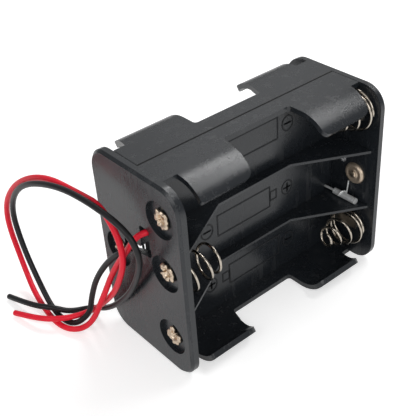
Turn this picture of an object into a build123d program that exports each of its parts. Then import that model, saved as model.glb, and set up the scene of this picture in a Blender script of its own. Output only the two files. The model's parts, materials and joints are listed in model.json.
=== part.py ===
from build123d import *
import math
import os

# A holder for six cells in two trays of three, back to back, with a red and a black lead.
# The cells lie along X. The front tray opens towards -Y and the back tray towards +Y.
# The near end is at -X, where the leads come out. The origin is the middle of the base.

# Cells and the bays that take them
cell_diameter = 14.5
cell_length = 50.5
bay_clearance = 0.1
contact_room = 4.8
cell_stands_out = 1.0

# Moulding
wall = 1.2
rib = 0.65
floor = 0.8
seam_gap = 0.1
butt_gap = 0.15
plate = 1.9
plate_corner = 5.3
plate_rim = 0.6

# Ribs between the bays: low in the middle, high at the end plates
rib_low = 3.4
rib_high = 12.6
rib_low_half = 10.8

# Arms that clip over the outer cells
arm_wrap = 54
arm_view = 35
mouth_depth = 4.4
slot_depth = 7.9
near_arm_start = -24.1
near_arm_root = -9.1
near_arm_knee = -10.0
near_arm_tip = -11.2
far_arm_start = 9.3
far_arm_root = 24.8
far_arm_tip = 23.0
arm_corner = 1.9
arm_sharp_corner = 0.6
mouth_corner = 0.8

# Rivets, their recesses in the end plates, and the disc contacts
recess_radius = 4.2
recess_depth = 1.0
recess_sides = 30
rivet_hole = 0.65
rivet_play = 0.05
rivet_head_radius = 0.95
rivet_head_height = 0.4
rivet_head_taper = 40
petal_radius = 2.35
petal_thickness = 0.45
petal_root = 1.0
petals = 5
top_rivet_rise = 0.6
mid_rivet_rise = 2.6
low_rivet_rise = 0.7
disc_radius = 2.75
disc_height = 0.85
disc_taper = 20
disc_sides = 24
small_sides = 12

# Contact springs
spring_wire = 0.65
spring_length = 9.8
spring_base = 4.6
spring_tip = 2.0
riveted_tip = 2.9
spring_ease = 1.3
turn_gap = 0.05
spring_turns = 4.5
closing = 1.12
chords = 9
eye_radius = 1.05
top_spring_rise = 1.4

# Strips that join the contacts, lying on the end plates
strip = 0.3
strip_width = 2.6
strip_room = 0.35
back_lug_from_cell = 4.35
back_lug_from_rib = 5.475
front_lug_from_cell = 2.75
front_lug_from_rib = 5.225

# Pin and wires of the middle crossover at the far end
pin_radius = 0.78
pin_start = 3.45
pin_length = 6.65
pin_from_plate = 1.65
wrap_wire = 0.4
wrap_play = 0.02
wrap_y = -6.4
wrap_from = 20
wrap_to = 180
wrap_step = 40
through_wire = 0.6
through_slot = 1.9

# Opening for the leads in each end plate, as (y, z) corners, and the leads
lead_opening = [(-4.1, 28.0), (-4.1, 34.9), (-0.9, 34.9), (-0.9, 29.2), (5.2, 28.9), (5.2, 25.0), (-0.9, 27.4)]
opening_corner = 0.7
lead_diameter = 1.35
core_diameter = 0.6
core_run = 1.2
wire_sides = 6
solder_radius = 1.1
solder_height = 0.85
solder_taper = 20
lead_bend = 0.45

# Corners of the leads' runs, from inside the opening to the bare end
red_corners = [
    (-27.2, -3.3, 33.4),
    (-31.0, -3.0, 34.9),
    (-32.0, 0.7, 29.0),
    (-32.6, 6.7, 20.3),
    (-34.1, 10.0, 11.9),
    (-37.2, 13.4, 1.9),
    (-41.7, 18.7, 0.8),
    (-40.2, 31.8, 0.9),
    (-37.8, 41.0, 4.3),
    (-38.0, 44.8, 19.5),
    (-37.3, 36.9, 31.0),
    (-35.8, 24.3, 38.2),
    (-34.4, 12.0, 38.5),
    (-33.7, 4.9, 38.5),
    (-33.7, -1.3, 29.9),
    (-33.6, 4.5, 17.1),
    (-32.4, 12.3, 8.0),
    (-33.0, 17.2, 2.7),
    (-36.8, 18.3, 2.4),
    (-41.1, 20.1, 2.8),
    (-44.6, 24.3, 2.5),
    (-46.6, 31.5, 0.8),
]
black_corners = [
    (-27.2, 4.2, 27.0),
    (-30.6, 4.0, 26.1),
    (-31.8, 8.5, 22.1),
    (-33.6, 12.7, 15.5),
    (-34.2, 15.7, 7.9),
    (-35.3, 15.5, 3.9),
    (-39.0, 17.8, 0.8),
    (-39.6, 25.0, 0.7),
    (-38.8, 31.7, 5.2),
    (-38.6, 37.0, 13.9),
    (-38.3, 39.3, 23.9),
    (-38.7, 30.3, 34.6),
    (-37.1, 17.2, 39.7),
    (-35.4, 6.2, 39.5),
    (-34.3, -4.2, 37.3),
    (-33.4, -5.9, 31.5),
    (-32.0, -2.0, 23.6),
    (-31.1, 4.1, 14.1),
    (-31.2, 13.1, 4.4),
    (-32.2, 20.2, 0.8),
    (-37.1, 22.0, 1.3),
    (-40.0, 24.0, 3.1),
    (-43.2, 28.7, 2.8),
    (-44.6, 37.9, 0.7),
]

# Sizes that follow from those above
bay = cell_diameter + bay_clearance
pitch = bay + rib
height = 3 * bay + 2 * rib + 2 * wall
inner = cell_length + contact_room
length = inner + 2 * plate
floor_y = seam_gap / 2 + floor
cell_y = floor_y + bay / 2
half_width = cell_y + cell_diameter / 2 - cell_stands_out
low_z = wall + bay / 2
mid_z = height / 2
top_z = height - low_z
rib_z = mid_z + pitch / 2
low_rib_z = mid_z - pitch / 2
free_end = inner / 2 - butt_gap
arm_inner = bay / 2
arm_outer = bay / 2 + wall
tip_line = (arm_inner + arm_outer) / 2 * math.sin(math.radians(arm_view - arm_wrap))
knee_line = arm_outer * math.sin(math.radians(arm_view)) + 0.3
top_rivet_z = top_z + top_rivet_rise
mid_rivet_z = mid_z + mid_rivet_rise
low_rivet_z = low_z + low_rivet_rise
top_spring_z = top_z + top_spring_rise
pin_x = inner / 2 - pin_from_plate
pin_z = low_rib_z + rib / 2 + pin_radius
rivet_spots = [(-cell_y, top_rivet_z), (-cell_y, mid_rivet_z), (-cell_y, low_rivet_z), (cell_y, mid_z)]
strip_slot = strip_width + 2 * strip_room
near_back_lug = (cell_y - back_lug_from_cell, low_rib_z + back_lug_from_rib)
near_front_lug = (-cell_y + front_lug_from_cell, rib_z + front_lug_from_rib)

os.makedirs("parts", exist_ok=True)


def save(part, name):
    part.label = name
    export_step(part, f"parts/{name}.step")
    print(name, round(part.volume, 3))


# One moulding: a tray of three bays and the end plate that closes both trays.
# The top half of the tray is made first and mirrored to the bottom.
with BuildPart() as arms:
    with BuildSketch(Plane.YZ.offset(near_arm_start - 1)):
        with BuildLine():
            outer = CenterArc((-cell_y, top_z), arm_outer, 90, arm_wrap + 3)
            inside = CenterArc((-cell_y, top_z), arm_inner, 90, arm_wrap + 3)
            Line(outer @ 1, inside @ 1)
            Polyline(outer @ 0, (-slot_depth + wall, height), (-slot_depth + wall, height - wall), inside @ 0)
        make_face()
    extrude(amount=far_arm_root - near_arm_start + 2)
    rad = math.radians(arm_view)
    over_arms = Plane((0, -cell_y, top_z), x_dir=(1, 0, 0), z_dir=(0, -math.sin(rad), math.cos(rad)))
    with BuildSketch(over_arms):
        with BuildLine():
            Polyline(
                (near_arm_start, knee_line + wall),
                (near_arm_start, tip_line),
                (near_arm_tip, tip_line),
                (near_arm_knee, knee_line),
                (near_arm_knee, knee_line + wall),
                close=True,
            )
        make_face()
        with BuildLine():
            Polyline(
                (far_arm_start, knee_line + wall),
                (far_arm_start, tip_line),
                (far_arm_tip, tip_line),
                (far_arm_root, knee_line),
                (far_arm_root, knee_line + wall),
                close=True,
            )
        make_face()
        tips = vertices().group_by(Axis.Y)[0].sort_by(Axis.X)
        fillet(tips[1:], arm_corner)
        fillet(vertices().group_by(Axis.Y)[0].sort_by(Axis.X)[0], arm_sharp_corner)
    extrude(amount=arm_outer + wall, mode=Mode.INTERSECT)

with BuildPart() as moulding:
    # Floor of the tray, on the seam between the two mouldings
    with BuildSketch(Plane.XZ.offset(seam_gap / 2)):
        with Locations(((free_end - inner / 2) / 2, mid_z)):
            Rectangle(free_end + inner / 2, height)
    extrude(amount=floor)
    # Top wall, with its mouth in the middle and a slot at each end plate
    with BuildSketch(Plane.XY.offset(height)):
        with BuildLine():
            Polyline(
                (-inner / 2, -seam_gap / 2),
                (-inner / 2, -slot_depth),
                (near_arm_knee, -slot_depth),
                (near_arm_root, -mouth_depth),
                (far_arm_start, -mouth_depth),
                (far_arm_start, -slot_depth),
                (free_end, -slot_depth),
                (free_end, -seam_gap / 2),
                close=True,
            )
        make_face()
        mouth = vertices().filter_by_position(Axis.Y, -mouth_depth - 0.1, -mouth_depth + 0.1)
        fillet(mouth, mouth_corner)
    extrude(amount=-wall)
    add(arms.part)
    # Rib between the top and the middle bay
    with BuildSketch(Plane.XY.offset(rib_z)):
        with BuildLine():
            Polyline(
                (-inner / 2, -seam_gap / 2),
                (-inner / 2, -rib_high),
                (-rib_low_half, -rib_low),
                (rib_low_half, -rib_low),
                (free_end, -rib_high),
                (free_end, -seam_gap / 2),
                close=True,
            )
        make_face()
    extrude(amount=rib / 2, both=True)
    mirror(about=Plane.XY.offset(mid_z))
    # End plate
    with BuildSketch(Plane.YZ.offset(-length / 2)):
        with Locations((0, mid_z)):
            RectangleRounded(2 * half_width, height, plate_corner)
    extrude(amount=plate)
    chamfer(faces().sort_by(Axis.X)[0].outer_wire().edges(), plate_rim)
    # Recesses and holes for the rivets
    with BuildSketch(Plane.YZ.offset(-length / 2)):
        with Locations(*rivet_spots):
            RegularPolygon(recess_radius, recess_sides)
    extrude(amount=recess_depth, mode=Mode.SUBTRACT)
    with BuildSketch(Plane.YZ.offset(-length / 2)):
        with Locations(*rivet_spots):
            RegularPolygon(rivet_hole, small_sides)
    extrude(amount=plate, mode=Mode.SUBTRACT)
    # Opening for the leads
    with BuildSketch(Plane.YZ.offset(-length / 2)):
        with BuildLine():
            Polyline(*lead_opening, close=True)
        make_face()
        fillet(vertices(), opening_corner)
    extrude(amount=plate, mode=Mode.SUBTRACT)
    # Notches for the strips: in the floor at both ends, and in the ribs
    with BuildSketch(Plane.XZ.offset(-seam_gap)):
        with Locations((-inner / 2, top_rivet_z), (-inner / 2, low_rivet_z)):
            Rectangle(2 * (strip + butt_gap), strip_slot)
        with Locations((free_end, top_rivet_z), (free_end, low_rivet_z)):
            Rectangle(2 * strip, strip_slot)
        with Locations((-pin_x, pin_z), (pin_x, pin_z)):
            Rectangle(through_slot, through_slot - strip_room)
    extrude(amount=floor_y + 2 * seam_gap, mode=Mode.SUBTRACT)
    with BuildSketch(Plane.XY.offset(low_rib_z - rib)):
        with Locations((-inner / 2, -cell_y)):
            Rectangle(2 * (strip + butt_gap), strip_slot)
        with Locations((free_end, -(near_back_lug[0] + cell_y) / 2)):
            Rectangle(2 * strip, 2 * strip_slot)
    extrude(amount=2 * rib, mode=Mode.SUBTRACT)
    with BuildSketch(Plane.XY.offset(rib_z - rib)):
        with Locations((free_end, -cell_y)):
            Rectangle(2 * strip, strip_slot)
    extrude(amount=2 * rib, mode=Mode.SUBTRACT)

save(moulding.part, "front_tray")

# The same moulding turned half round makes the other tray
with BuildPart() as back_tray:
    add(moulding.part, rotation=(0, 0, 180))
save(back_tray.part, "back_tray")


def near_end(y, z, rise=0.0):
    return Plane((-inner / 2 + rise, y, z), x_dir=(0, 1, 0), z_dir=(1, 0, 0))


def far_end(y, z, rise=0.0):
    return Plane((inner / 2 - rise, y, z), x_dir=(0, -1, 0), z_dir=(-1, 0, 0))


# Disc contact, made on the XY plane with its face up
with BuildPart() as disc:
    with BuildSketch():
        RegularPolygon(disc_radius, disc_sides)
    extrude(amount=disc_height, taper=disc_taper)
    with BuildSketch():
        RegularPolygon(rivet_hole, small_sides)
    extrude(amount=disc_height, mode=Mode.SUBTRACT)

disc_spots = {
    "near_disc_front_top": near_end(-cell_y, top_rivet_z, strip),
    "near_disc_front_low": near_end(-cell_y, low_rivet_z, strip),
    "near_disc_back_mid": near_end(cell_y, mid_z, strip),
    "far_disc_back_top": far_end(cell_y, top_rivet_z, strip),
    "far_disc_back_low": far_end(cell_y, low_rivet_z, strip),
    "far_disc_front_mid": far_end(-cell_y, mid_z),
}
for name, spot in disc_spots.items():
    with BuildPart() as placed:
        with Locations(spot):
            add(disc.part)
    save(placed.part, name)


# Rivet through the plate: a low head inside and a tail splayed into petals outside
petal_outline = []
for petal in range(petals):
    for turn, reach in ((0.0, petal_root), (0.2, petal_radius), (0.5, petal_radius), (0.8, petal_radius)):
        angle = 2 * math.pi * (petal + turn) / petals
        petal_outline.append((reach * math.cos(angle), reach * math.sin(angle)))


def rivet_part(grip):
    tail = recess_depth - plate
    with BuildPart() as rivet:
        with BuildSketch(Plane.XY.offset(tail)):
            RegularPolygon(rivet_hole - rivet_play, small_sides)
        extrude(amount=grip - tail)
        with BuildSketch(Plane.XY.offset(grip)):
            RegularPolygon(rivet_head_radius, small_sides)
        extrude(amount=rivet_head_height, taper=rivet_head_taper)
        with BuildSketch(Plane.XY.offset(tail)):
            with BuildLine():
                Polyline(*petal_outline, close=True)
            make_face()
        extrude(amount=-petal_thickness)
    return rivet.part


rivet_list = {
    "near_rivet_front_top": (near_end(-cell_y, top_rivet_z), strip + disc_height),
    "near_rivet_front_mid": (near_end(-cell_y, mid_rivet_z), strip + spring_wire),
    "near_rivet_front_low": (near_end(-cell_y, low_rivet_z), strip + disc_height),
    "near_rivet_back_mid": (near_end(cell_y, mid_z), strip + disc_height),
    "far_rivet_back_top": (far_end(cell_y, top_rivet_z), strip + disc_height),
    "far_rivet_back_mid": (far_end(cell_y, mid_rivet_z), spring_wire),
    "far_rivet_back_low": (far_end(cell_y, low_rivet_z), strip + disc_height),
    "far_rivet_front_mid": (far_end(-cell_y, mid_z), disc_height),
}
for name, (spot, grip) in rivet_list.items():
    with BuildPart() as placed:
        with Locations(spot):
            add(rivet_part(grip))
    save(placed.part, name)


# Conical spring, wound up from the XY plane. Where it is riveted, the wire starts as an
# eye round the rivet, which sits off the middle of the coil.
def spring(tip, first_rise, ease, eye_offset=None):
    lift = spring_wire / 2
    step = 2 * math.pi / chords
    points = []
    if eye_offset is not None:
        for k in range(-chords + 3, 1):
            points.append((eye_radius * math.cos(k * step), eye_offset + eye_radius * math.sin(k * step), lift))
    start = 0 if eye_offset is None else 1
    for k in range(start, chords + 1):
        up = lift + first_rise * k / chords
        points.append((spring_base * math.cos(k * step), spring_base * math.sin(k * step), up))
    rising = round((spring_turns - 1) * chords)
    seat = lift + first_rise
    rise = spring_length - lift - seat
    for k in range(1, rising + 1):
        share = k / rising
        radius = spring_base + (tip - spring_base) * share
        up = seat + rise * min(1.0, share * closing) ** ease
        points.append((radius * math.cos(k * step), radius * math.sin(k * step), up))
    with BuildPart() as coil:
        with BuildLine() as path:
            Polyline(*points)
        with BuildSketch(Plane(path.line @ 0, z_dir=path.line % 0)):
            RegularPolygon(spring_wire / 2, wire_sides)
        sweep(transition=Transition.RIGHT)
    return coil.part


plain_spring = spring(spring_tip, spring_wire + turn_gap, spring_ease)
riveted_spring = spring(riveted_tip, 0.0, 1.0, mid_rivet_rise)
spring_spots = {
    "near_spring_front_mid": (near_end(-cell_y, mid_z, strip), riveted_spring),
    "near_spring_back_top": (near_end(cell_y, top_spring_z, strip), plain_spring),
    "near_spring_back_low": (near_end(cell_y, low_z, strip), plain_spring),
    "far_spring_front_top": (far_end(-cell_y, top_spring_z, strip), plain_spring),
    "far_spring_front_low": (far_end(-cell_y, low_z, strip), plain_spring),
    "far_spring_back_mid": (far_end(cell_y, mid_z), riveted_spring),
}
for name, (spot, coil) in spring_spots.items():
    with BuildPart() as placed:
        with Locations(spot):
            add(coil)
    save(placed.part, name)


# Strips that join the contacts: flat plates, holed for their rivets
def strip_part(base, ends, holes):
    (y0, z0), (y1, z1) = ends
    with BuildPart() as link:
        with BuildSketch(base):
            with Locations(((y0 + y1) / 2, (z0 + z1) / 2)):
                run = math.hypot(y1 - y0, z1 - z0) + strip_width
                Rectangle(run, strip_width, rotation=math.degrees(math.atan2(z1 - z0, y1 - y0)))
        extrude(amount=strip)
        if holes:
            with BuildSketch(base):
                with Locations(*holes):
                    RegularPolygon(rivet_hole, small_sides)
            extrude(amount=strip, mode=Mode.SUBTRACT)
    return link.part


near_face = near_end(0, 0)
far_face = far_end(0, 0)
strips = {
    "near_strip_front": (near_face, [(-cell_y, low_rivet_z), (-cell_y, mid_rivet_z)], "ends"),
    "near_strip_back": (near_face, [(cell_y, mid_z), (cell_y, top_spring_z)], "start"),
    "near_lug_red": (near_face, [(-cell_y, top_rivet_z), near_front_lug], "start"),
    "near_lug_black": (near_face, [(cell_y, low_z), near_back_lug], "none"),
    "far_strip_top": (far_face, [(cell_y, top_rivet_z), (-cell_y, top_rivet_z)], "end"),
    "far_strip_low": (far_face, [(cell_y, low_rivet_z), (-cell_y, low_rivet_z)], "end"),
}
for name, (face, ends, holed) in strips.items():
    holes = {"ends": ends, "start": ends[:1], "end": ends[1:], "none": []}[holed]
    save(strip_part(face, ends, holes), name)

# Pin of the middle crossover, lying on the lower rib, and its two wires
with BuildPart() as pin:
    with BuildSketch(Plane.XZ.offset(pin_start)):
        with Locations((pin_x, pin_z)):
            Circle(pin_radius)
    extrude(amount=pin_length)
save(pin.part, "crossover_pin")


# Wire along straight runs joined by arcs
def wire(points, diameter, bend):
    runs = [Vector(*a).sub(Vector(*b)) for a, b in zip(points[1:], points[:-1])]
    radii = []
    for a, b in zip(runs[:-1], runs[1:]):
        half_turn = math.radians(a.get_angle(b)) / 2
        radii.append(bend * min(a.length, b.length) / math.tan(half_turn))
    with BuildPart() as made:
        with BuildLine() as path:
            FilletPolyline(*points, radius=radii)
        with BuildSketch(Plane(path.line @ 0, z_dir=path.line % 0)):
            RegularPolygon(diameter / 2, wire_sides)
        sweep()
    return made.part, radii


over = (pin_radius + wrap_wire / 2 + wrap_play) / math.cos(math.radians(wrap_step / 2))
tie_points = [(inner / 2 - wrap_wire, -cell_y + 1.5, mid_z - disc_radius)]
for k, angle in enumerate(range(wrap_from, wrap_to + 1, wrap_step)):
    rad = math.radians(angle)
    tie_points.append((pin_x + over * math.cos(rad), wrap_y + wrap_wire * k / 2, pin_z + over * math.sin(rad)))
with BuildPart() as tie:
    with BuildLine() as path:
        Polyline(*tie_points)
    with BuildSketch(Plane(path.line @ 0, z_dir=path.line % 0)):
        RegularPolygon(wrap_wire / 2, wire_sides)
    sweep(transition=Transition.RIGHT)
save(tie.part, "crossover_tie")

ring_y = cell_y - spring_base
through_points = [
    (pin_x, -pin_start, pin_z),
    (pin_x, ring_y - 1.2, pin_z),
    (inner / 2 - spring_wire - through_wire / 2, ring_y, mid_z),
]
save(wire(through_points, through_wire, lead_bend)[0], "crossover_wire")

# Leads with their bare cores inside, soldered on the lugs
for name, corners, lug in (("red", red_corners, near_front_lug), ("black", black_corners, near_back_lug)):
    lead, radii = wire(corners, lead_diameter, lead_bend)
    save(lead, f"{name}_lead")
    print(name, "lead bend radii", [round(r, 2) for r in radii])
    start = corners[0]
    turn = (start[0] + core_run, start[1], start[2])
    core, radii = wire([start, turn, (turn[0], lug[0], lug[1])], core_diameter, lead_bend)
    save(core, f"{name}_core")
    with BuildPart() as joint:
        with BuildSketch(near_end(lug[0], lug[1], strip)):
            RegularPolygon(solder_radius, small_sides)
        extrude(amount=solder_height, taper=solder_taper)
    save(joint.part, f"{name}_solder")
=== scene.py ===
"""Holder for six cylindrical cells: looks, leads and studio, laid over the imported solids."""

import json
import math

import bmesh
import bpy
import numpy as np
from bpy.props import FloatProperty, FloatVectorProperty, PointerProperty
from bpy.types import Operator, Panel, PropertyGroup
from mathutils import Euler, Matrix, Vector


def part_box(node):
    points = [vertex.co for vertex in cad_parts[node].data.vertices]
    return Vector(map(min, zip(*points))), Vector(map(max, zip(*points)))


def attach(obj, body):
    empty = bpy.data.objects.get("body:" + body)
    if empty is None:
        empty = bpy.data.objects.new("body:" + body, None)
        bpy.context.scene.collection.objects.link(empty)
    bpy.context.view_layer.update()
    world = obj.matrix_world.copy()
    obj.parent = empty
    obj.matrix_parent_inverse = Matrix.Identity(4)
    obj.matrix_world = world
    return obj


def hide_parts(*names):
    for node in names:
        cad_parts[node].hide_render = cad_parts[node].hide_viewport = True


bl_info = {
    "name": "Cell holder",
    "version": (1, 0, 0),
    "blender": (4, 5, 0),
    "location": "View3D > Sidebar > Cell holder",
    "description": "Dresses the solids of a cell holder and sets it in a plain studio",
    "category": "Object",
}

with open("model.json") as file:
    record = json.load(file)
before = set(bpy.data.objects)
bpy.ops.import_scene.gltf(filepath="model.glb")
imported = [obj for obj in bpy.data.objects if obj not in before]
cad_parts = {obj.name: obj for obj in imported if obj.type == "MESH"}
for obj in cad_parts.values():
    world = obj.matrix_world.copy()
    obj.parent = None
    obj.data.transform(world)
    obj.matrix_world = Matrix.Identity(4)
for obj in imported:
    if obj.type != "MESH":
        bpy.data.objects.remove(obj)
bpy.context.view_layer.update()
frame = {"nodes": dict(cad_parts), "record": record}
MM = 0.001

# What the frame gives: half the length between the plates, and each contact's box
INNER_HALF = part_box("far_strip_low")[1].x
SPRINGS = {name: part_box(name) for name in frame["nodes"] if "_spring_" in name}
RIVETS = {name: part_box(name) for name in frame["nodes"] if "_rivet_" in name}
DISCS = {name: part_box(name) for name in frame["nodes"] if "_disc_" in name}
# From the joint between the trays to a cell's axis, and to a tray's floor
CELL_Y = 8.15 * MM
FLOOR_Y = 0.85 * MM

# Corners of the leads' routes, in millimetres, from inside the opening to the bare end
RED_ROUTE = [
    (-27.2, -3.3, 33.4),
    (-31.0, -3.0, 34.9),
    (-32.0, 0.7, 29.0),
    (-32.6, 6.7, 20.3),
    (-34.1, 10.0, 11.9),
    (-37.2, 13.4, 1.9),
    (-41.7, 18.7, 0.8),
    (-40.2, 31.8, 0.9),
    (-37.8, 41.0, 4.3),
    (-38.0, 44.8, 19.5),
    (-37.3, 36.9, 31.0),
    (-35.8, 24.3, 38.2),
    (-34.4, 12.0, 38.5),
    (-33.7, 4.9, 38.5),
    (-33.7, -1.3, 29.9),
    (-33.6, 4.5, 17.1),
    (-32.4, 12.3, 8.0),
    (-33.0, 17.2, 2.7),
    (-36.8, 18.3, 2.4),
    (-41.1, 20.1, 2.8),
    (-44.6, 24.3, 2.5),
    (-46.6, 31.5, 0.8),
]
BLACK_ROUTE = [
    (-27.2, 4.2, 27.0),
    (-30.6, 4.0, 26.1),
    (-31.8, 8.5, 22.1),
    (-33.6, 12.7, 15.5),
    (-34.2, 15.7, 7.9),
    (-35.3, 15.5, 3.9),
    (-39.0, 17.8, 0.8),
    (-39.6, 25.0, 0.7),
    (-38.8, 31.7, 5.2),
    (-38.6, 37.0, 13.9),
    (-38.3, 39.3, 23.9),
    (-38.7, 30.3, 34.6),
    (-37.1, 17.2, 39.7),
    (-35.4, 6.2, 39.5),
    (-34.3, -4.2, 37.3),
    (-33.4, -5.9, 31.5),
    (-32.0, -2.0, 23.6),
    (-31.1, 4.1, 14.1),
    (-31.2, 13.1, 4.4),
    (-32.2, 20.2, 0.8),
    (-37.1, 22.0, 1.3),
    (-40.0, 24.0, 3.1),
    (-43.2, 28.7, 2.8),
    (-44.6, 37.9, 0.7),
]


def tint(name, description, default):
    """A colour that the panel shows as a swatch."""
    return FloatVectorProperty(
        name=name, description=description, subtype="COLOR", size=3, min=0, max=1, default=default
    )


def span(name, description, default):
    """A length that the panel shows in the scene's unit."""
    return FloatProperty(name=name, description=description, unit="LENGTH", default=default)


class HolderLook(PropertyGroup):
    """Sizes and colours of the holder's finish"""

    plastic: tint("Plastic", "Moulded trays", (0.015, 0.018, 0.022))
    nickel: tint("Nickel", "Contact springs", (0.60, 0.54, 0.46))
    bronze: tint("Bronze", "Rivets and disc contacts", (0.74, 0.60, 0.46))
    tin: tint("Tin", "Pin, wires and solder", (0.86, 0.87, 0.87))
    red: tint("Red lead", "Cover of the red lead", (0.96, 0.012, 0.038))
    black: tint("Black lead", "Cover of the black lead", (0.012, 0.012, 0.014))
    lead_diameter: span("Lead diameter", "Across a lead's cover", 1.35 * MM)
    spring_wire: span("Spring wire", "Across the wire of a contact spring", 0.65 * MM)
    edge_radius: span("Edge radius", "How far the mouldings' edges are softened", 0.16 * MM)
    mark_width: span("Mark width", "Width of the lines cut in the tray floors", 0.34 * MM)


class StudioLook(PropertyGroup):
    """Camera, floor and lamps"""

    camera_place: FloatVectorProperty(
        name="Camera", description="Where the camera stands", subtype="TRANSLATION", unit="LENGTH", size=3,
        default=(-0.0998957, -0.1117266, 0.1301363),
    )
    camera_turn: FloatVectorProperty(
        name="Camera turn", description="How the camera is turned", subtype="EULER", unit="ROTATION", size=3,
        default=(math.radians(54.63608), math.radians(3.28601), math.radians(-40.84095)),
    )
    lens: FloatProperty(
        name="Lens", description="Focal length on a 36 mm sensor, in millimetres", default=70.374
    )
    floor_size: span("Floor", "Half the width of the floor", 1.2)
    floor_pale: FloatProperty(
        name="Floor paleness", description="Colour of the floor", min=0, max=1, default=0.86
    )
    world_strength: FloatProperty(
        name="World", description="Strength of the soft light from all round", default=0.30
    )
    lamp_level: FloatProperty(name="Lamps", description="Share of the lamps' full brightness", default=1.0)


class Sock:
    """A shader socket with arithmetic: an expression on these adds the Math nodes that it needs."""

    def __init__(self, tree, socket):
        self.tree = tree
        self.socket = socket

    def _math(self, kind, other, flip=False):
        node = self.tree.nodes.new("ShaderNodeMath")
        node.operation = kind
        first, second = (other, self) if flip else (self, other)
        for slot, value in enumerate((first, second)):
            if isinstance(value, Sock):
                self.tree.links.new(value.socket, node.inputs[slot])
            elif value is not None:
                node.inputs[slot].default_value = value
        return Sock(self.tree, node.outputs[0])

    def __add__(self, other):
        return self._math("ADD", other)

    __radd__ = __add__

    def __sub__(self, other):
        return self._math("SUBTRACT", other)

    def __rsub__(self, other):
        return self._math("SUBTRACT", other, flip=True)

    def __mul__(self, other):
        return self._math("MULTIPLY", other)

    __rmul__ = __mul__

    def __truediv__(self, other):
        return self._math("DIVIDE", other)

    def above(self, other):
        return self._math("GREATER_THAN", other)

    def size(self):
        return self._math("ABSOLUTE", 0.0)

    def clamped(self):
        return self._math("MINIMUM", 1.0)._math("MAXIMUM", 0.0)

    def sibling(self, index):
        """Another output of the same node."""
        return Sock(self.tree, self.socket.node.outputs[index])


class Finish:
    """A material being written: one method makes any node, and the shader's sockets are set by name."""

    def __init__(self, name):
        self.material = bpy.data.materials.new(name)
        self.material.use_nodes = True
        self.tree = self.material.node_tree
        self.tree.nodes.clear()
        self.out = self.tree.nodes.new("ShaderNodeOutputMaterial")

    def node(self, kind, settings=None, output=0, **values):
        """Adds a node: its settings first, then its sockets by name, or by number as i0, i1 and so on."""
        made = self.tree.nodes.new(kind)
        for key, value in (settings or {}).items():
            setattr(made, key, value)
        for key, value in values.items():
            numbered = key[0] == "i" and key[1:].isdigit()
            target = made.inputs[int(key[1:]) if numbered else key.replace("_", " ")]
            if isinstance(value, Sock):
                self.tree.links.new(value.socket, target)
            else:
                target.default_value = value
        return Sock(self.tree, made.outputs[output])

    def object_place(self):
        return self.node("ShaderNodeTexCoord", output=3)

    def stretched(self, x, y, z):
        return self.node("ShaderNodeMapping", Vector=self.object_place(), Scale=(x, y, z))

    def noise(self, scale, detail=2.0, rough=0.5):
        place = self.object_place()
        return self.node("ShaderNodeTexNoise", Vector=place, Scale=scale, Detail=detail, Roughness=rough)

    def mix_colour(self, factor, first, second):
        first, second = (c if isinstance(c, Sock) else (*c, 1.0) for c in (first, second))
        return self.node("ShaderNodeMix", {"data_type": "RGBA"}, 2, i0=factor, i6=first, i7=second)

    def two_tone(self, factor, colour, low, high):
        """One colour at two strengths, mixed by factor."""
        return self.mix_colour(factor, *(tuple(min(1.0, c * k) for c in colour) for k in (low, high)))

    def bump(self, height, strength, distance):
        return self.node("ShaderNodeBump", Strength=strength, Distance=distance, Height=height)

    def surface(self, **values):
        """Ends the material in a Principled shader with these sockets."""
        return self.shown(self.node("ShaderNodeBsdfPrincipled", **values))

    def shown(self, shader):
        self.tree.links.new(shader.socket, self.out.inputs[0])
        return self.material


def moulded_plastic(look):
    """Satin black plastic: a fine grain from the mould, cloudy flow marks, faint scuffs and a little dust.
    The joint between the trays is painted dark, as painted shade of the groove between them, and is rough:
    fully where |y| is under 1.2 of its half width, and not at all past 2.2 of it, nor on the end plates."""
    joint_half = 0.14 * MM
    f = Finish("moulded_plastic")
    grain = f.noise(4200.0, 2.0)
    flow = f.noise(70.0, 4.0, 0.62)
    streaks = f.stretched(1.0, 1.0, 0.16)
    smear = f.node("ShaderNodeTexNoise", Vector=streaks, Scale=420.0, Detail=4.0, Roughness=0.65)
    dust = f.noise(1100.0, 4.0, 0.7)
    scuffs = ((smear - 0.56) * 7.0).clamped()
    specks = ((dust - 0.64) * 8.0).clamped()
    shade = f.two_tone(flow, tuple(look.plastic), 0.7, 1.35)
    worn = f.mix_colour(scuffs * 0.12, shade, (0.15, 0.15, 0.15))
    dusty = f.mix_colour(specks * 0.2, worn, (0.22, 0.22, 0.215))
    x = f.node("ShaderNodeSeparateXYZ", Vector=f.object_place())
    y = x.sibling(1)
    # painted shade: near black where the trays meet, standing for the shade in the groove between them; the
    # same mask makes it rough
    shaded_joint = (2.2 - y.size() / joint_half).clamped() * (1.0 - x.size().above(INNER_HALF))
    colour = f.mix_colour(shaded_joint, dusty, (0.0008, 0.0009, 0.001))
    rough = 0.13 + 0.2 * flow + 0.1 * scuffs + 0.05 * grain + 0.6 * shaded_joint
    bump = f.bump(grain, 0.35, 0.00008)
    return f.surface(Base_Color=colour, Roughness=rough, Specular_IOR_Level=0.55, Normal=bump)


def nickel_wire(look):
    """Nickel plating on drawn wire, with a warm tint and soft drawing marks."""
    f = Finish("nickel_wire")
    fine = f.noise(2600.0, 3.0)
    colour = f.two_tone(fine, tuple(look.nickel), 0.86, 1.0)
    bump = f.bump(fine, 0.1, 0.00002)
    return f.surface(Base_Color=colour, Metallic=1.0, Roughness=0.12 + 0.1 * fine, Normal=bump)


def rivet_bronze(look):
    """Plated bronze, pressed, its tone and dullness clouded."""
    f = Finish("rivet_bronze")
    cloud = f.noise(700.0, 4.0, 0.6)
    colour = f.two_tone(cloud, tuple(look.bronze), 0.72, 1.18)
    bump = f.bump(cloud, 0.2, 0.00006)
    return f.surface(Base_Color=colour, Metallic=1.0, Roughness=0.2 + 0.22 * cloud, Normal=bump)


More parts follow.
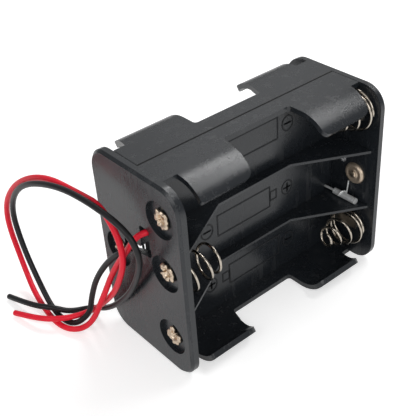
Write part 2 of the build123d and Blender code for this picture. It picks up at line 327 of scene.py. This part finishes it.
def disc_bronze(look):
    """Pressed bronze disc, clouded by the heat of plating."""
    f = Finish("disc_bronze")
    cloud = f.noise(520.0, 4.0, 0.6)
    colour = f.two_tone(cloud, tuple(look.bronze), 0.62, 1.1)
    bump = f.bump(cloud, 0.12, 0.00005)
    return f.surface(Base_Color=colour, Metallic=0.75, Roughness=0.26 + 0.2 * cloud, Normal=bump)


def strip_steel(look):
    """Rolled and plated strip with a faint grain."""
    f = Finish("strip_steel")
    grain = f.noise(1800.0, 3.0)
    colour = f.two_tone(grain, tuple(look.nickel), 0.78, 1.0)
    return f.surface(Base_Color=colour, Metallic=1.0, Roughness=0.26 + 0.14 * grain)


def bright_tin(look):
    """Tinned pin and wire, bright with a soft ripple."""
    f = Finish("bright_tin")
    ripple = f.noise(1100.0, 2.0)
    colour = f.two_tone(ripple, tuple(look.tin), 0.85, 1.0)
    bump = f.bump(ripple, 0.12, 0.00004)
    return f.surface(Base_Color=colour, Metallic=0.35, Roughness=0.2 + 0.12 * ripple, Normal=bump)


def dull_solder(look):
    """Solder and bared strands: grey, rippled and matt."""
    f = Finish("dull_solder")
    ripple = f.noise(900.0, 3.0, 0.6)
    colour = f.two_tone(ripple, tuple(look.tin), 0.2, 0.4)
    bump = f.bump(ripple, 0.3, 0.00008)
    return f.surface(Base_Color=colour, Metallic=0.85, Roughness=0.5 + 0.2 * ripple, Normal=bump)


def lead_cover(name, colour, lift):
    """Smooth extruded cover of a lead: a soft gloss, with faint scuffs that lighten it."""
    f = Finish(name)
    wave = f.noise(420.0, 2.0)
    fine = f.noise(3800.0, 2.0)
    scuff = ((f.noise(1500.0, 4.0, 0.7) - 0.6) * 5.0).clamped()
    scuffed = f.mix_colour(scuff * 0.07, f.two_tone(wave, colour, 0.86, 1.1), lift)
    rough = 0.32 + 0.12 * wave
    bump = f.bump(fine, 0.06, 0.00003)
    return f.surface(Base_Color=scuffed, Roughness=rough, Specular_IOR_Level=0.32, Normal=bump)


def shaded_cut_line(look):
    """The lines in the tray floors: the plastic painted darker, as painted shade of their grooves, and matt.
    """
    f = Finish("shaded_cut_line")
    grain = f.noise(4000.0, 3.0)
    colour = f.two_tone(grain, tuple(look.plastic), 0.35, 0.6)
    return f.surface(Base_Color=colour, Roughness=0.6 + 0.1 * grain)


def mesh_piece(name, points, faces, material, smooth=True):
    """A mesh object at the origin that rides on the one body, with its material."""
    mesh = bpy.data.meshes.new(name)
    mesh.from_pydata(np.asarray(points).tolist(), [], faces)
    mesh.update()
    return dress(name, mesh, material, smooth)


def dress(name, mesh, material, smooth=True):
    """Links a mesh as a piece of the one body, with its material."""
    mesh.polygons.foreach_set("use_smooth", [smooth] * len(mesh.polygons))
    mesh.materials.clear()
    mesh.materials.append(material)
    piece = bpy.data.objects.new(name, mesh)
    bpy.context.scene.collection.objects.link(piece)
    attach(piece, "root")
    return piece


def grid_faces(rows, around):
    """Faces of a grid of rows rings with around points each, closed round and capped at both ends.
    Ring i, place j is point i * around + j, so each face is (i, j), (i, j+1), (i+1, j+1), (i+1, j)."""
    i, j = np.meshgrid(np.arange(rows - 1), np.arange(around), indexing="ij")
    n = (j + 1) % around
    this, following = i * around, (i + 1) * around
    quads = np.stack([this + j, this + n, following + n, following + j], 2).reshape(-1, 4)
    first, last = np.arange(around)[::-1], np.arange((rows - 1) * around, rows * around)
    return [*quads.tolist(), first.tolist(), last.tolist()]


def tube(path, radius, sides=14):
    """Round tube along a path p(t): p + r (cos v n + sin v b), where d is the direction of travel,
    n = d x X / |d x X| and b = d x n. The path never runs straight along X."""
    path = np.asarray(path, float)
    ahead = np.gradient(path, axis=0)
    ahead /= np.linalg.norm(ahead, axis=1)[:, None]
    side = np.cross(ahead, (1.0, 0.0, 0.0))
    side /= np.linalg.norm(side, axis=1)[:, None]
    over = np.cross(ahead, side)
    v = np.linspace(0, 2 * np.pi, sides, endpoint=False)
    ring = radius * (np.cos(v)[None, :, None] * side[:, None] + np.sin(v)[None, :, None] * over[:, None])
    return (path[:, None] + ring).reshape(-1, 3), grid_faces(len(path), sides)


def lathe(profile, around=48):
    """Surface of revolution (r cos a, r sin a, h) of a profile of (r, h) rows."""
    r, h = np.asarray(profile, float).T
    a = np.linspace(0, 2 * np.pi, around, endpoint=False)
    points = np.stack([r[:, None] * np.cos(a), r[:, None] * np.sin(a), np.repeat(h[:, None], around, 1)], 2)
    return points.reshape(-1, 3), grid_faces(len(r), around)


def place(points, end, y, z):
    """Moves points made with their axis along +Z to an end plate: end -1 is the near one, +1 the far one."""
    across, up, in_from_plate = np.asarray(points, float).T
    return np.stack([end * (INNER_HALF - in_from_plate), y - end * across, z + up], 1)


def plate_of(name, box):
    """Which end plate a contact is on, -1 or +1, and how far in from the plate it starts."""
    low, high = box
    if name.startswith("near"):
        return -1, INNER_HALF + low.x
    return 1, INNER_HALF - high.x


# Springs by place: height of the coil's middle, radius of its base and its start off the seat, in millimetres
SPRING_SEATS = {
    "front_mid": (23.75, 4.6, 0.0),
    "back_mid": (23.75, 4.6, 0.0),
    "front_top": (41.1, 4.75, 0.0),
    "front_low": (9.3, 4.6, 0.7),
    "back_top": (40.4, 4.6, 0.0),
    "back_low": (8.5, 4.6, 0.0),
}
# Tip radius, turns, how early the rise ends, how the radius narrows and how the rise eases in
PLAIN_COIL = (1.7 * MM, 4.2, 1.12, 0.9, 1.05)
RIVETED_COIL = (3.2 * MM, 3.8, 1.3, 1.0, 1.0)
POINTS_A_TURN = 44
TURN_GAP = 0.05 * MM
EYE_RADIUS = 1.05 * MM
EYE_OFFSET = 2.6 * MM


def spring_path(length, wire, base, riveted):
    """Conical helix (r(s) cos t, r(s) sin t, h(s)), with s from 0 to 1 after the first turn:
    r = base + (tip - base) s ** narrowing and h = climb + rise * min(1, s * closing) ** ease. A plain
    spring's first turn climbs by one wire and a small gap. A riveted one lies flat there: it starts as
    an eye round its rivet and crosses to the base turn on a short bent leg."""
    tip, turns, closing, narrowing, ease = RIVETED_COIL if riveted else PLAIN_COIL
    first = 0.0 if riveted else wire + TURN_GAP
    lift = wire / 2
    t = np.linspace(0, 2 * np.pi * turns, int(turns * POINTS_A_TURN))
    s = np.clip((t - 2 * np.pi) / (2 * np.pi * (turns - 1)), 0, 1)
    radius = base + (tip - base) * s**narrowing
    climb = first * np.clip(t / (2 * np.pi), 0, 1)
    rise = np.minimum(1.0, s * closing) ** ease * (length - wire - first)
    coil = np.stack([radius * np.cos(t), radius * np.sin(t), lift + climb + rise], 1)
    if not riveted:
        return coil
    a = np.linspace(-1.5 * np.pi, 0, 34)
    loop = np.stack([EYE_RADIUS * np.cos(a), EYE_OFFSET + EYE_RADIUS * np.sin(a), np.full_like(a, lift)], 1)
    u = np.linspace(0, 1, 12)[1:-1, None]
    start, stop = loop[-1], coil[3]
    bend = (start + stop) / 2 + np.array([0.6 * MM, 0.35 * MM, 0.0])
    leg = (1 - u) ** 2 * start + 2 * u * (1 - u) * bend + u**2 * stop
    return np.vstack([loop, leg, coil[4:]])


class HOLDER_OT_springs(Operator):
    """Winds the contact springs in round wire, in the place of the plain ones"""

    bl_idname = "holder.springs"
    bl_label = "Contact springs"

    def execute(self, context):
        look = context.scene.holder_look
        metal = nickel_wire(look)
        for name, (low, high) in SPRINGS.items():
            end, seat = plate_of(name, (low, high))
            riveted = name in ("near_spring_front_mid", "far_spring_back_mid")
            y = math.copysign(CELL_Y, (low.y + high.y) / 2)
            z, base, off = SPRING_SEATS[name.split("_", 2)[2]]
            path = spring_path(high.x - low.x - off * MM, look.spring_wire, base * MM, riveted)
            path[:, 2] += seat + off * MM
            points, faces = tube(place(path, end, y, z * MM), look.spring_wire / 2)
            piece = mesh_piece(name + "_wire", points, faces, metal)
            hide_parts(name)
        return {"FINISHED"}


# Rows of a rivet's rolled tail: radius, height over the outer face, both in millimetres, and how far the
# splits reach into it
RIVET_ROLL = [
    (0.62, -0.02, 0.0), (0.95, -0.06, 0.25), (1.45, -0.10, 0.6), (1.95, -0.12, 0.9),
    (2.22, -0.22, 1.0), (2.32, -0.40, 1.0), (2.25, -0.60, 1.0), (2.04, -0.76, 1.0),
    (1.78, -0.84, 0.95), (1.52, -0.80, 0.85), (1.28, -0.66, 0.7), (1.08, -0.40, 0.5),
    (0.92, -0.06, 0.3), (0.80, 0.30, 0.1), (0.60, 0.62, 0.0), (0.05, 0.66, 0.0),
]
RIVET_BACK = -0.9
RIVET_HEAD = 0.4


def rivet_surface(grip, seed, around=72):
    """Rivet as one closed surface, (r cos a, r sin a, h) for each row of a profile: a low dome inside, the
    shank, and a tail rolled out over the recess with a hollow middle. In the roll the radius is
    r (1 - k + k m(a)), where m falls in three splits as exp(-(d / w) ** 2) with d the angle to the nearest
    split, and swells between them by two sines; the height sways by two more. All in millimetres."""
    q = np.linspace(0.08, 1.0, 9)
    dome = np.stack([0.95 * q, grip + RIVET_HEAD * np.sqrt(1 - 0.985 * q**2), np.zeros(9)], 1)
    roll = np.array(RIVET_ROLL)
    roll[:, 1] += RIVET_BACK
    shank = np.array([(0.60, grip, 0.0), (0.61, RIVET_BACK, 0.0)])
    r, h, k = (row[:, None] for row in np.vstack([dome, shank, roll]).T)
    a = np.linspace(0, 2 * np.pi, around, endpoint=False)
    rng = np.random.default_rng(seed)
    splits = np.sort(rng.uniform(0, 2 * np.pi, 3)) + np.arange(3) * 0.4
    depth = rng.uniform(0.2, 0.62, 3)
    gap = np.abs((a[None, :] - splits[:, None] + np.pi) % (2 * np.pi) - np.pi)
    fall = (depth[:, None] * np.exp(-((gap / 0.2) ** 2))).max(0)
    sway = 0.07 * np.sin(4 * a + rng.uniform(0, 6)) + 0.05 * np.sin(9 * a + rng.uniform(0, 6))
    swell = np.minimum(1.02, 0.96 + sway - fall)
    ripple = 0.10 * np.sin(5 * a + rng.uniform(0, 6)) + 0.08 * np.sin(11 * a + rng.uniform(0, 6))
    ripple += 0.35 * fall
    radius = r * (1 - k * (1 - swell))
    height = h + k * np.maximum(ripple, -0.12) * (r < 2.25) * (h < RIVET_BACK - 0.15)
    points = np.stack([radius * np.cos(a), radius * np.sin(a), height], 2).reshape(-1, 3) * MM
    return points, [f[::-1] for f in grid_faces(len(r), around)]


# A dished disc's profile from its back to its hollow front: radius and height, in millimetres
DISC_PROFILE = [
    (0.05, 0.0), (2.7, 0.0), (2.75, 0.06), (2.68, 0.3), (2.5, 0.62), (2.25, 0.8), (2.0, 0.84),
    (1.8, 0.78), (1.55, 0.66), (1.35, 0.64), (1.2, 0.72), (1.1, 0.84), (0.05, 0.84),
]


class HOLDER_OT_rivets(Operator):
    """Turns the rivets, with domed heads inside and rolled tails outside, and the dished disc contacts"""

    bl_idname = "holder.rivets"
    bl_label = "Rivets and discs"

    def execute(self, context):
        look = context.scene.holder_look
        metal = rivet_bronze(look)
        for seed, (name, (low, high)) in enumerate(sorted(RIVETS.items())):
            end = -1 if name.startswith("near") else 1
            head_top = (high.x + INNER_HALF) if end < 0 else (INNER_HALF - low.x)
            points, faces = rivet_surface(head_top / MM - RIVET_HEAD, seed + 3)
            y = math.copysign(CELL_Y, low.y + high.y)
            points = place(points, end, y, (low.z + high.z) / 2)
            piece = mesh_piece(name + "_tail", points, faces, metal)
            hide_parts(name)
        dark = disc_bronze(look)
        for name, (low, high) in DISCS.items():
            end, seat = plate_of(name, (low, high))
            points, faces = lathe(np.array(DISC_PROFILE) * MM)
            points[:, 2] += seat
            middle = (low + high) / 2
            points = place(points, end, middle.y, middle.z)
            piece = mesh_piece(name + "_dish", points, faces, dark)
            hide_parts(name)
        return {"FINISHED"}


def outline_band(line, width, depth, side):
    """A closed flat line as a thin raised band: each corner is moved half the width along its mitre,
    in and out, from just under the tray's floor at y = side * floor to side * (floor + depth). The four
    rings are outer low, outer high, inner high and inner low, and each face joins two that follow."""
    line = np.asarray(line, float)
    before = line - np.roll(line, 1, 0)
    after = np.roll(line, -1, 0) - line
    n0, n1 = (np.stack([-d[:, 1], d[:, 0]], 1) / np.linalg.norm(d, axis=1)[:, None] for d in (before, after))
    mitre = n0 + n1
    mitre /= (mitre * n1).sum(1)[:, None]
    outer = line + mitre * width / 2
    inner = line - mitre * width / 2
    low = side * (FLOOR_Y - 0.02 * MM)
    high = side * (FLOOR_Y + depth)
    rings = ((outer, low), (outer, high), (inner, high), (inner, low))
    count = len(line)
    points = np.vstack([np.stack([flat[:, 0], np.full(count, y), flat[:, 1]], 1) for flat, y in rings])
    ring, j = np.meshgrid(np.arange(4), np.arange(count), indexing="ij")
    this, following, n = ring * count, (ring + 1) % 4 * count, (j + 1) % count
    return points, np.stack([this + j, this + n, following + n, following + j], 2).reshape(-1, 4)


def ring_line(x, z, across, tall, count=40):
    """Corners of an oval, (x + across / 2 cos a, z + tall / 2 sin a)."""
    a = np.linspace(0, 2 * np.pi, count, endpoint=False)
    return np.stack([x + across / 2 * np.cos(a), z + tall / 2 * np.sin(a)], 1)


def box_line(x0, x1, z0, z1):
    """Corners of an upright box."""
    return [(x0, z0), (x1, z0), (x1, z1), (x0, z1)]


def cell_marks(s, z):
    """The lines of one bay at height z, in millimetres: the outline of a cell with its nub, and a plus and
    a minus in ovals. The plus lies towards +X where s is 1, and towards -X where it is -1."""
    plus, minus, arm, half_line = s * 12.2, s * -12.4, 1.0, 0.02
    return [
        box_line(*sorted((s * -9.3, s * 6.6)), z - 2.7, z + 2.7),
        box_line(*sorted((s * 6.75, s * 8.7)), z - 1.15, z + 1.15),
        ring_line(plus, z, 3.3, 3.7),
        ring_line(minus, z, 3.3, 3.7),
        box_line(plus - arm, plus + arm, z - half_line, z + half_line),
        box_line(plus - half_line, plus + half_line, z - 1.1, z + 1.1),
        box_line(minus - arm, minus + arm, z - half_line, z + half_line),
    ]


class HOLDER_OT_trays(Operator):
    """Copies the two mouldings, clears their faceting and softens every edge as a mould does"""

    bl_idname = "holder.trays"
    bl_label = "Trays"

    def execute(self, context):
        look = context.scene.holder_look
        plastic = moulded_plastic(look)
        for name in ("front_tray", "back_tray"):
            node = frame["nodes"][name]
            mesh = node.data.copy()
            mesh.transform(node.matrix_world)
            bm = bmesh.new()
            bm.from_mesh(mesh)
            bmesh.ops.remove_doubles(bm, verts=bm.verts, dist=0.002 * MM)
            sharp = math.radians(40)
            corners = [e for e in bm.edges if len(e.link_faces) == 2 and e.calc_face_angle() > sharp]
            bmesh.ops.bevel(
                bm, geom=corners, offset=look.edge_radius, segments=2, profile=0.5, affect="EDGES",
                clamp_overlap=True,
            )
            bm.to_mesh(mesh)
            bm.free()
            piece = dress(name + "_moulding", mesh, plastic)
            mesh.set_sharp_from_angle(angle=math.radians(24))
            level = piece.modifiers.new("level_faces", "WEIGHTED_NORMAL")
            level.weight = 100
            level.keep_sharp = True
            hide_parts(name)
        return {"FINISHED"}


# Heights of the marks of the low, middle and top bay, in millimetres, and how far they stand on the floor
MARK_ROWS = (8.5, 23.7, 40.7)
MARK_DEPTH = 0.07 * MM


class HOLDER_OT_marks(Operator):
    """Draws the cell outlines and pole signs on the tray floors"""

    bl_idname = "holder.marks"
    bl_label = "Bay marks"

    def execute(self, context):
        look = context.scene.holder_look
        # painted shade: the bay lines are coloured darker than the floor, standing for the shade in their
        # grooves
        dark = shaded_cut_line(look)
        for tray, side in (("front", -1), ("back", 1)):
            points, faces, count = [], [], 0
            for row, z in enumerate(MARK_ROWS):
                for line in cell_marks(-1 if (row != 1) == (side < 0) else 1, z):
                    band, quads = outline_band(np.array(line) * MM, look.mark_width, MARK_DEPTH, side)
                    points.append(band)
                    faces.append(quads[:, ::-side] + count)
                    count += len(band)
            faces = np.vstack(faces).tolist()
            mesh_piece(f"{tray}_bay_marks", np.vstack(points), faces, dark, smooth=False)
        return {"FINISHED"}


RED_SCUFF = (0.86, 0.35, 0.38)
BLACK_SCUFF = (0.05, 0.05, 0.053)


def lead_curve(name, route, diameter, material):
    """One smooth open NURBS curve with the route's corners as its control points. Its thickness is in the
    points' radius, because a curve's box reaches out by that radius all round."""
    curve = bpy.data.curves.new(name, "CURVE")
    curve.dimensions = "3D"
    spline = curve.splines.new("NURBS")
    spline.points.add(len(route) - 1)
    for point, corner in zip(spline.points, route):
        point.co = (*(c * MM for c in corner), 1.0)
        point.radius = diameter / 2
    spline.order_u = 3
    spline.use_endpoint_u = True
    spline.resolution_u = 14
    curve.bevel_depth = 1.0
    curve.bevel_resolution = 5
    curve.use_fill_caps = True
    curve.materials.append(material)
    piece = bpy.data.objects.new(name, curve)
    bpy.context.scene.collection.objects.link(piece)
    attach(piece, "root")
    return piece


def curve_length(piece):
    """Length of the curve's own line, summed over the points that Blender works out for it."""
    depth = piece.data.bevel_depth
    piece.data.bevel_depth = 0.0
    mesh = bpy.data.meshes.new_from_object(piece)
    place_of = np.empty(len(mesh.vertices) * 3)
    mesh.vertices.foreach_get("co", place_of)
    piece.data.bevel_depth = depth
    bpy.data.meshes.remove(mesh)
    return float(np.linalg.norm(np.diff(place_of.reshape(-1, 3), axis=0), axis=1).sum())


class HOLDER_OT_leads(Operator):
    """Lays the red and the black lead"""

    bl_idname = "holder.leads"
    bl_label = "Leads"

    def execute(self, context):
        look = context.scene.holder_look
        red = lead_cover("red_cover", tuple(look.red), RED_SCUFF)
        black = lead_cover("black_cover", tuple(look.black), BLACK_SCUFF)
        for name, route, material, slot in (
            ("red_lead", RED_ROUTE, red, "red_cover"),
            ("black_lead", BLACK_ROUTE, black, "black_cover"),
        ):
            piece = lead_curve(name + "_curve", route, look.lead_diameter, material)
            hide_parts(name)
            tuple(c * MM for c in route[0])
            curve_length(piece)
        return {"FINISHED"}


class HOLDER_OT_finishes(Operator):
    """Gives the carried-over solids their finishes"""

    bl_idname = "holder.finishes"
    bl_label = "Finishes"

    def execute(self, context):
        look = context.scene.holder_look
        made = {
            "black_plastic": moulded_plastic(look),
            "spring_wire": nickel_wire(look),
            "contact_bronze": rivet_bronze(look),
            "contact_strip": strip_steel(look),
            "bright_tin": bright_tin(look),
            "copper_core": dull_solder(look),
            "red_cover": lead_cover("red_solid", tuple(look.red), RED_SCUFF),
            "black_cover": lead_cover("black_solid", tuple(look.black), BLACK_SCUFF),
        }
        for part in frame["record"]["subparts"]:
            node = frame["nodes"][part["node"]]
            node.data.materials.clear()
            name = "copper_core" if part["node"].endswith("_solder") else part["material_slot"]
            node.data.materials.append(made[name])
        return {"FINISHED"}


# Lamps: name, place, width and length in metres, and brightness of the panel
LAMPS = (
    ("arm_strip", (0.33, 0.045, 0.52), 0.6, 0.08, 11.0),
    ("back_panel", (0.30, 0.62, 0.50), 0.8, 0.5, 0.35),
    ("left_panel", (-0.60, -0.10, 0.45), 0.5, 0.4, 2.0),
    ("front_panel", (-0.20, -0.70, 0.35), 0.6, 0.4, 2.0),
)
LAMPS_AIM = Vector((0, 0, 0.02))
# Glow that whitens the floor where the camera sees it, and where a glossy surface mirrors it
GLOW_SEEN = 0.52
GLOW_MIRRORED = 0.28
# Outputs of the Light Path node
CAMERA_RAY, GLOSSY_RAY = 0, 3


def stand_camera(scene, studio):
    camera = bpy.data.cameras.new("camera")
    camera.sensor_width = 36.0
    camera.lens = studio.lens
    camera.clip_start = 0.005
    camera.clip_end = 20.0
    stand = bpy.data.objects.new("camera", camera)
    stand.location = studio.camera_place
    stand.rotation_euler = Euler(studio.camera_turn, "XYZ")
    scene.collection.objects.link(stand)
    scene.camera = stand


def lay_floor(scene, studio):
    half = studio.floor_size
    mesh = bpy.data.meshes.new("floor")
    corners = [(-half, -half, 0), (half, -half, 0), (half, half, 0), (-half, half, 0)]
    mesh.from_pydata(corners, [], [(0, 1, 2, 3)])
    floor = bpy.data.objects.new("floor", mesh)
    scene.collection.objects.link(floor)
    f = Finish("pale_floor")
    diffuse = f.node("ShaderNodeBsdfDiffuse", Color=(*[studio.floor_pale] * 3, 1.0))
    seen = f.node("ShaderNodeLightPath", output=CAMERA_RAY) * GLOW_SEEN
    mirrored = f.node("ShaderNodeLightPath", output=GLOSSY_RAY) * GLOW_MIRRORED
    glow = f.node("ShaderNodeEmission", Color=(1.0, 1.0, 1.0, 1.0), Strength=seen + mirrored)
    mesh.materials.append(f.shown(f.node("ShaderNodeAddShader", i0=diffuse, i1=glow)))


def fill_world(scene, studio):
    """White where the camera sees past the floor, and soft light of world_strength elsewhere."""
    world = bpy.data.worlds.new("world")
    scene.world = world
    world.use_nodes = True
    tree = world.node_tree
    tree.nodes.clear()
    out = tree.nodes.new("ShaderNodeOutputWorld")
    back = tree.nodes.new("ShaderNodeBackground")
    back.inputs[0].default_value = (1.0, 1.0, 1.0, 1.0)
    seen = Sock(tree, tree.nodes.new("ShaderNodeLightPath").outputs[CAMERA_RAY])
    strength = seen * (1.0 - studio.world_strength) + studio.world_strength
    tree.links.new(strength.socket, back.inputs[1])
    tree.links.new(back.outputs[0], out.inputs[0])


def hang_lamps(scene, studio):
    for name, where, across, along, brightness in LAMPS:
        light = bpy.data.lights.new(name, "AREA")
        light.shape = "RECTANGLE"
        light.size = across
        light.size_y = along
        light.energy = brightness * math.pi * across * along * studio.lamp_level
        lamp = bpy.data.objects.new(name, light)
        lamp.location = where
        lamp.rotation_euler = (LAMPS_AIM - Vector(where)).to_track_quat("-Z", "Y").to_euler()
        scene.collection.objects.link(lamp)


class HOLDER_OT_stage(Operator):
    """Sets the camera, the pale floor, the world and the lamps"""

    bl_idname = "holder.stage"
    bl_label = "Studio"

    def execute(self, context):
        scene, studio = context.scene, context.scene.holder_studio
        scene.view_settings.view_transform = "Standard"
        for step in (stand_camera, lay_floor, fill_world, hang_lamps):
            step(scene, studio)
        return {"FINISHED"}


class HOLDER_PT_panel(Panel):
    """Lists the holder's pieces in the sidebar"""

    bl_label = "Cell holder"
    bl_idname = "HOLDER_PT_panel"
    bl_space_type = "VIEW_3D"
    bl_region_type = "UI"
    bl_category = "Cell holder"

    def draw(self, context):
        for group in (context.scene.holder_look, context.scene.holder_studio):
            for key in group.__annotations__:
                self.layout.prop(group, key)
        for step in STEPS:
            self.layout.operator(step.bl_idname)


STEPS = (
    HOLDER_OT_stage,
    HOLDER_OT_leads,
    HOLDER_OT_finishes,
    HOLDER_OT_springs,
    HOLDER_OT_rivets,
    HOLDER_OT_trays,
    HOLDER_OT_marks,
)
CLASSES = (HolderLook, StudioLook, *STEPS, HOLDER_PT_panel)


def register():
    for cls in CLASSES:
        bpy.utils.register_class(cls)
    bpy.types.Scene.holder_look = PointerProperty(type=HolderLook)
    bpy.types.Scene.holder_studio = PointerProperty(type=StudioLook)


def unregister():
    del bpy.types.Scene.holder_studio
    del bpy.types.Scene.holder_look
    for cls in reversed(CLASSES):
        bpy.utils.unregister_class(cls)


def main():
    register()
    bpy.ops.holder.stage()
    bpy.ops.holder.leads()
    bpy.ops.holder.finishes()
    bpy.ops.holder.springs()
    bpy.ops.holder.rivets()
    bpy.ops.holder.trays()
    bpy.ops.holder.marks()


if __name__ == "__main__":
    main()
